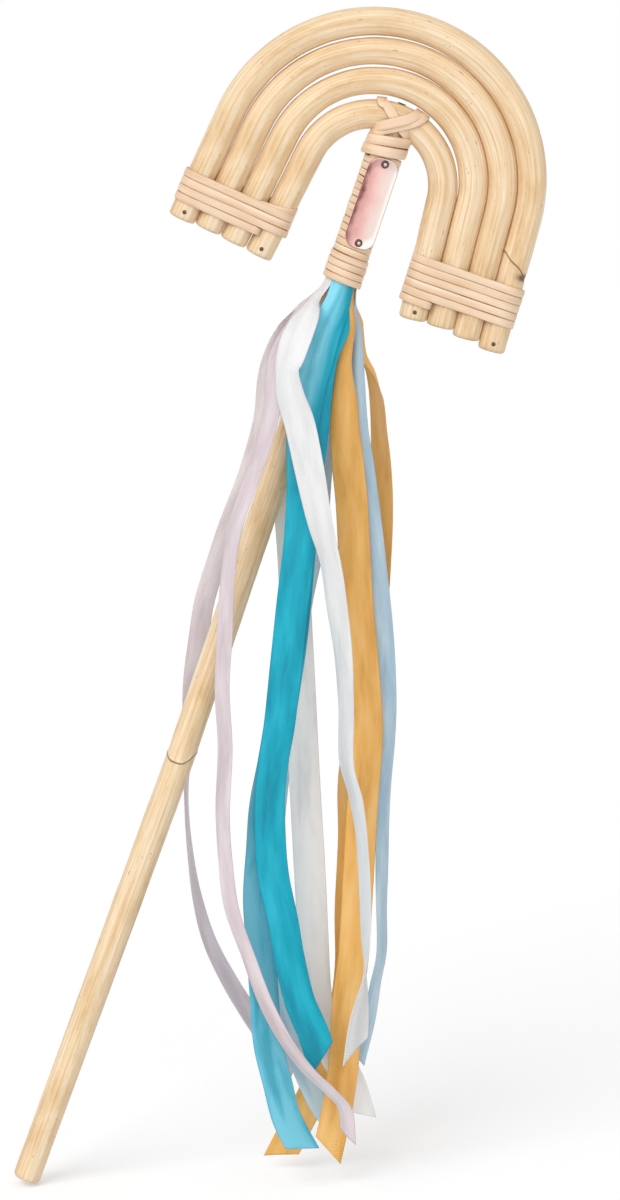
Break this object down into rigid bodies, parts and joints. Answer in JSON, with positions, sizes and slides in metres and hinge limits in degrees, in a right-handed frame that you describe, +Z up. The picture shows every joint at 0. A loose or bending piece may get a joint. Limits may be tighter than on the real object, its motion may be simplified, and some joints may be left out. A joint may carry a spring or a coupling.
{
  "type": "toy magic wand",
  "caption": "Toy magic wand: a rattan stick topped by a rainbow of bent rattan rods, bound with flat cane and hung with long satin ribbons that sway.",
  "frame": {"origin": "on the stick's axis, halfway along the grip", "axes": "+Z up, +X to the right as the rainbow is seen from the front, +Y away from the viewer, square to the rainbow's plane"},
  "size_m": [0.1659, 0.0532, 0.3698],
  "materials": {
    "rattan": "smooth, faint grain",
    "cane": "satin, fine fibres",
    "rose_copper": "brushed",
    "steel": "dull",
    "turquoise_satin": "satin",
    "orange_satin": "satin",
    "white_satin": "satin",
    "pink_satin": "satin",
    "blue_satin": "satin"
  },
  "bodies": {
    "wand": {"stick": "rattan", "outer_arch": "rattan", "second_arch": "rattan", "third_arch": "rattan", "inner_arch": "rattan", "left_leg_binding": "cane", "right_leg_binding": "cane", "crown_lashing": "cane", "neck_wrap": "cane", "plate": "rose_copper", "plate_pins": "steel", "crown_nail": "steel", "leg_brads": "steel", "turquoise_fold": "turquoise_satin", "orange_fold": "orange_satin", "white_fold": "white_satin", "pink_fold": "pink_satin", "blue_fold": "blue_satin"},
    "turquoise_front": {"turquoise_front_tail": "turquoise_satin"},
    "turquoise_back": {"turquoise_back_tail": "turquoise_satin"},
    "orange_front": {"orange_front_tail": "orange_satin"},
    "orange_back": {"orange_back_tail": "orange_satin"},
    "white_front": {"white_front_tail": "white_satin"},
    "white_back": {"white_back_tail": "white_satin"},
    "pink_front": {"pink_front_tail": "pink_satin"},
    "pink_back": {"pink_back_tail": "pink_satin"},
    "blue_side": {"blue_side_tail": "blue_satin"},
    "blue_back": {"blue_back_tail": "blue_satin"}
  },
  "joints": [
    {"name": "turquoise_front_sway", "type": "hinge", "parent": "wand", "child": "turquoise_front", "pos_m": [0.075, -0.0065, 0.214], "axis": [0, 1, 0], "range_deg": [-10, 8]},
    {"name": "turquoise_back_sway", "type": "hinge", "parent": "wand", "child": "turquoise_back", "pos_m": [0.075, -0.0058, 0.214], "axis": [0, 1, 0], "range_deg": [-10, 10]},
    {"name": "orange_front_sway", "type": "hinge", "parent": "wand", "child": "orange_front", "pos_m": [0.0788, -0.0028, 0.212], "axis": [0, 1, 0], "range_deg": [-10, 8]},
    {"name": "orange_back_sway", "type": "hinge", "parent": "wand", "child": "orange_back", "pos_m": [0.079, 0.0027, 0.212], "axis": [0, 1, 0], "range_deg": [-10, 7]},
    {"name": "white_front_sway", "type": "hinge", "parent": "wand", "child": "white_front", "pos_m": [0.0687, -0.0027, 0.2155], "axis": [0, 1, 0], "range_deg": [-10, 10]},
    {"name": "white_back_sway", "type": "hinge", "parent": "wand", "child": "white_back", "pos_m": [0.071, 0.0052, 0.215], "axis": [0, 1, 0], "range_deg": [-10, 10]},
    {"name": "pink_front_sway", "type": "hinge", "parent": "wand", "child": "pink_front", "pos_m": [0.0684, 0.0001, 0.2155], "axis": [0, 1, 0], "range_deg": [-8, 10]},
    {"name": "pink_back_sway", "type": "hinge", "parent": "wand", "child": "pink_back", "pos_m": [0.0686, 0.0025, 0.2155], "axis": [0, 1, 0], "range_deg": [-10, 10]},
    {"name": "blue_side_sway", "type": "hinge", "parent": "wand", "child": "blue_side", "pos_m": [0.0795, 0.0001, 0.212], "axis": [0, 1, 0], "range_deg": [-10, 10]},
    {"name": "blue_back_sway", "type": "hinge", "parent": "wand", "child": "blue_back", "pos_m": [0.075, 0.006, 0.2135], "axis": [0, 1, 0], "range_deg": [-7, 10]}
  ]
}
